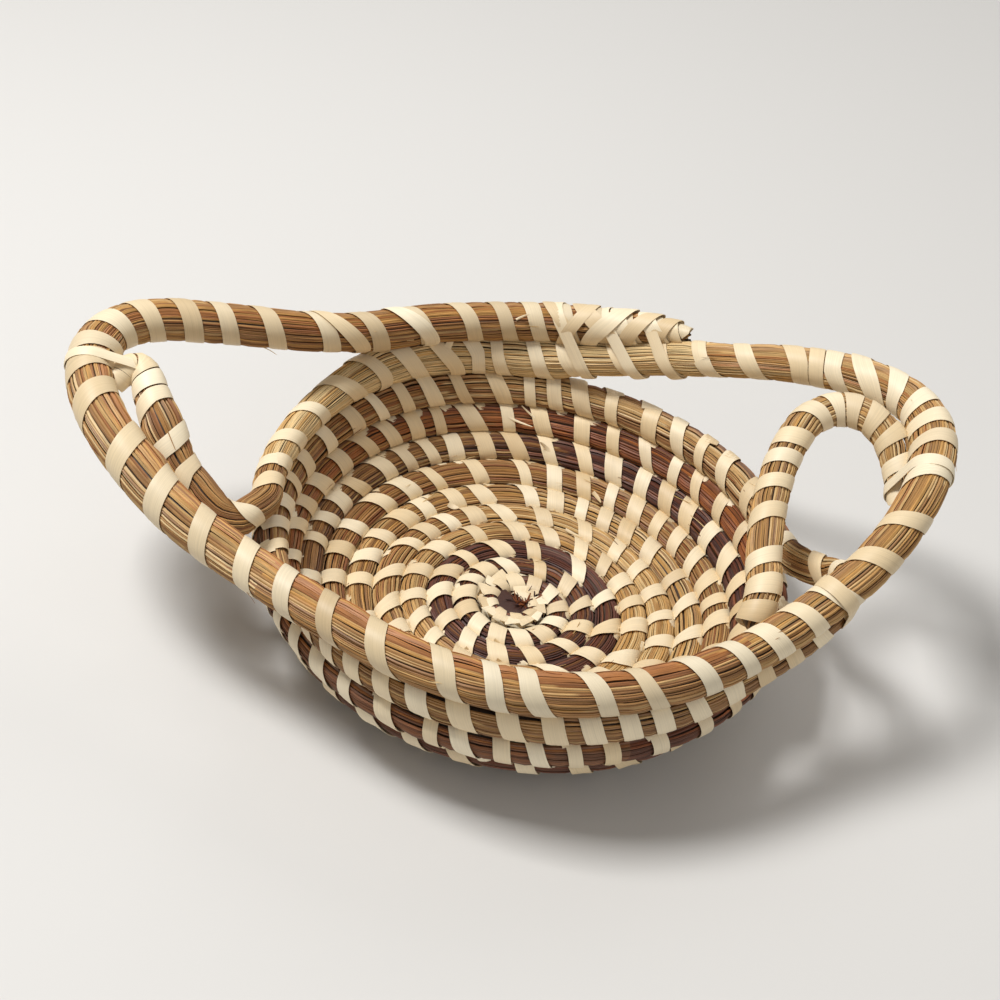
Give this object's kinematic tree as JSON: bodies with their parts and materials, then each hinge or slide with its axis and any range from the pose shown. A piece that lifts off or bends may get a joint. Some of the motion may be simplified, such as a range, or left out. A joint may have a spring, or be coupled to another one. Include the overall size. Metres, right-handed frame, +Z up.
{
  "type": "coiled basket",
  "caption": "Round bowl of coiled grass bundles sewn with palm leaf strips, with a rim bundle that loops out as an ear handle at each side.",
  "frame": {"origin": "centre of the knot's underside, on the surface that the basket stands on", "axes": "+Z up; the ears reach out along X, the larger and lower one towards -X; -Y is the front in the picture"},
  "size_m": [0.3035, 0.2036, 0.1011],
  "materials": {
    "sweetgrass": "dry grass, satin",
    "golden": "dry grass, satin",
    "russet": "pine needles, satin",
    "dark": "pine needles, satin",
    "palm_leaf": "palm leaf strip, satin"
  },
  "bodies": {
    "root": {"start_coil": "russet", "golden_floor_coil": "golden", "brown_floor_coil": "russet", "dark_wall_coil": "dark", "russet_wall_coil": "russet", "tan_wall_coil": "sweetgrass", "last_row_coil": "sweetgrass", "left_curl_coil": "sweetgrass", "left_turn_coil": "sweetgrass", "back_row_coil": "sweetgrass", "right_ear_coil": "sweetgrass", "rim_front_coil": "sweetgrass", "left_ear_coil": "sweetgrass", "back_top_coil": "sweetgrass", "right_curl_coil": "sweetgrass", "centre_knot": "russet", "left_curl_wrap": "palm_leaf", "left_turn_wrap": "palm_leaf", "back_row_wrap": "palm_leaf", "right_ear_wrap": "palm_leaf", "rim_front_wrap": "palm_leaf", "left_ear_wrap": "palm_leaf", "back_top_wrap": "palm_leaf", "right_curl_wrap": "palm_leaf", "bulge_lashing": "palm_leaf", "left_curl_lashing": "palm_leaf", "right_curl_lashing": "palm_leaf", "tail_lashing_1": "palm_leaf", "tail_lashing_2": "palm_leaf", "tail_lashing_3": "palm_leaf", "stitch_column_01": "palm_leaf", "stitch_column_02": "palm_leaf", "stitch_column_03": "palm_leaf", "stitch_column_04": "palm_leaf", "stitch_column_05": "palm_leaf", "stitch_column_06": "palm_leaf", "stitch_column_07": "palm_leaf", "stitch_column_08": "palm_leaf", "stitch_column_09": "palm_leaf", "stitch_column_10": "palm_leaf", "stitch_column_11": "palm_leaf", "stitch_column_12": "palm_leaf", "stitch_column_13": "palm_leaf", "stitch_column_14": "palm_leaf", "stitch_column_15": "palm_leaf", "stitch_column_16": "palm_leaf", "stitch_column_17": "palm_leaf", "stitch_column_18": "palm_leaf", "stitch_column_19": "palm_leaf", "stitch_column_20": "palm_leaf", "stitch_column_21": "palm_leaf", "stitch_column_22": "palm_leaf", "stitch_column_23": "palm_leaf", "stitch_column_24": "palm_leaf"}
  },
  "joints": []
}
